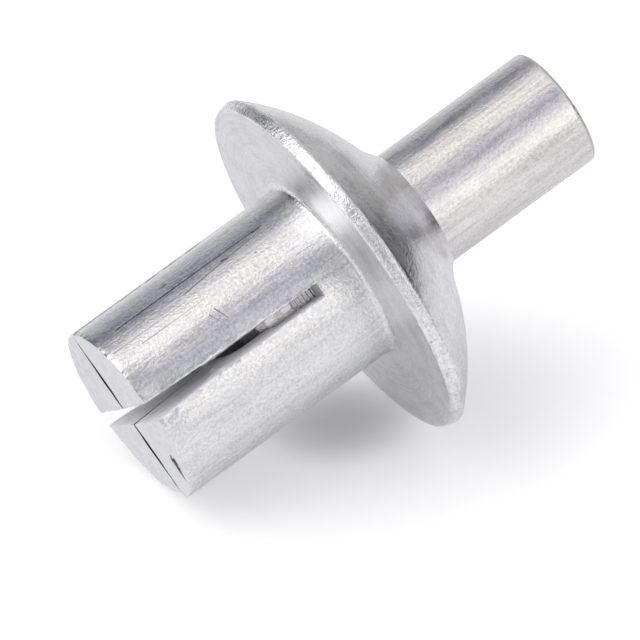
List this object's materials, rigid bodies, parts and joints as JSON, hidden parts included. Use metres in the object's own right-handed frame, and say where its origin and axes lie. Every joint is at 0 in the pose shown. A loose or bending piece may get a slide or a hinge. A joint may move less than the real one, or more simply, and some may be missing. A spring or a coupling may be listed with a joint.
{
  "type": "drive rivet",
  "caption": "Domed drive rivet with a cross-split shank and a headless drive pin standing out of the dome, ready to be hammered in.",
  "frame": {"origin": "centre of the bearing face under the head, on the rivet's axis", "axes": "+Z along the axis from the head towards the split end of the shank; the four prongs are centred on X and Y, with the open slot and the closed slit between them at 45 degrees"},
  "size_m": [0.0126, 0.0126, 0.0175],
  "materials": {
    "body_aluminium": "cold-headed aluminium with fine drawn lines along the shank, a satin bearing face and a bright rough rim",
    "pin_aluminium": "drawn aluminium wire, cut to length, with soft streaks along it and a few small pits"
  },
  "bodies": {
    "root": {"rivet_body": "body_aluminium", "drive_pin": "pin_aluminium"}
  },
  "joints": []
}
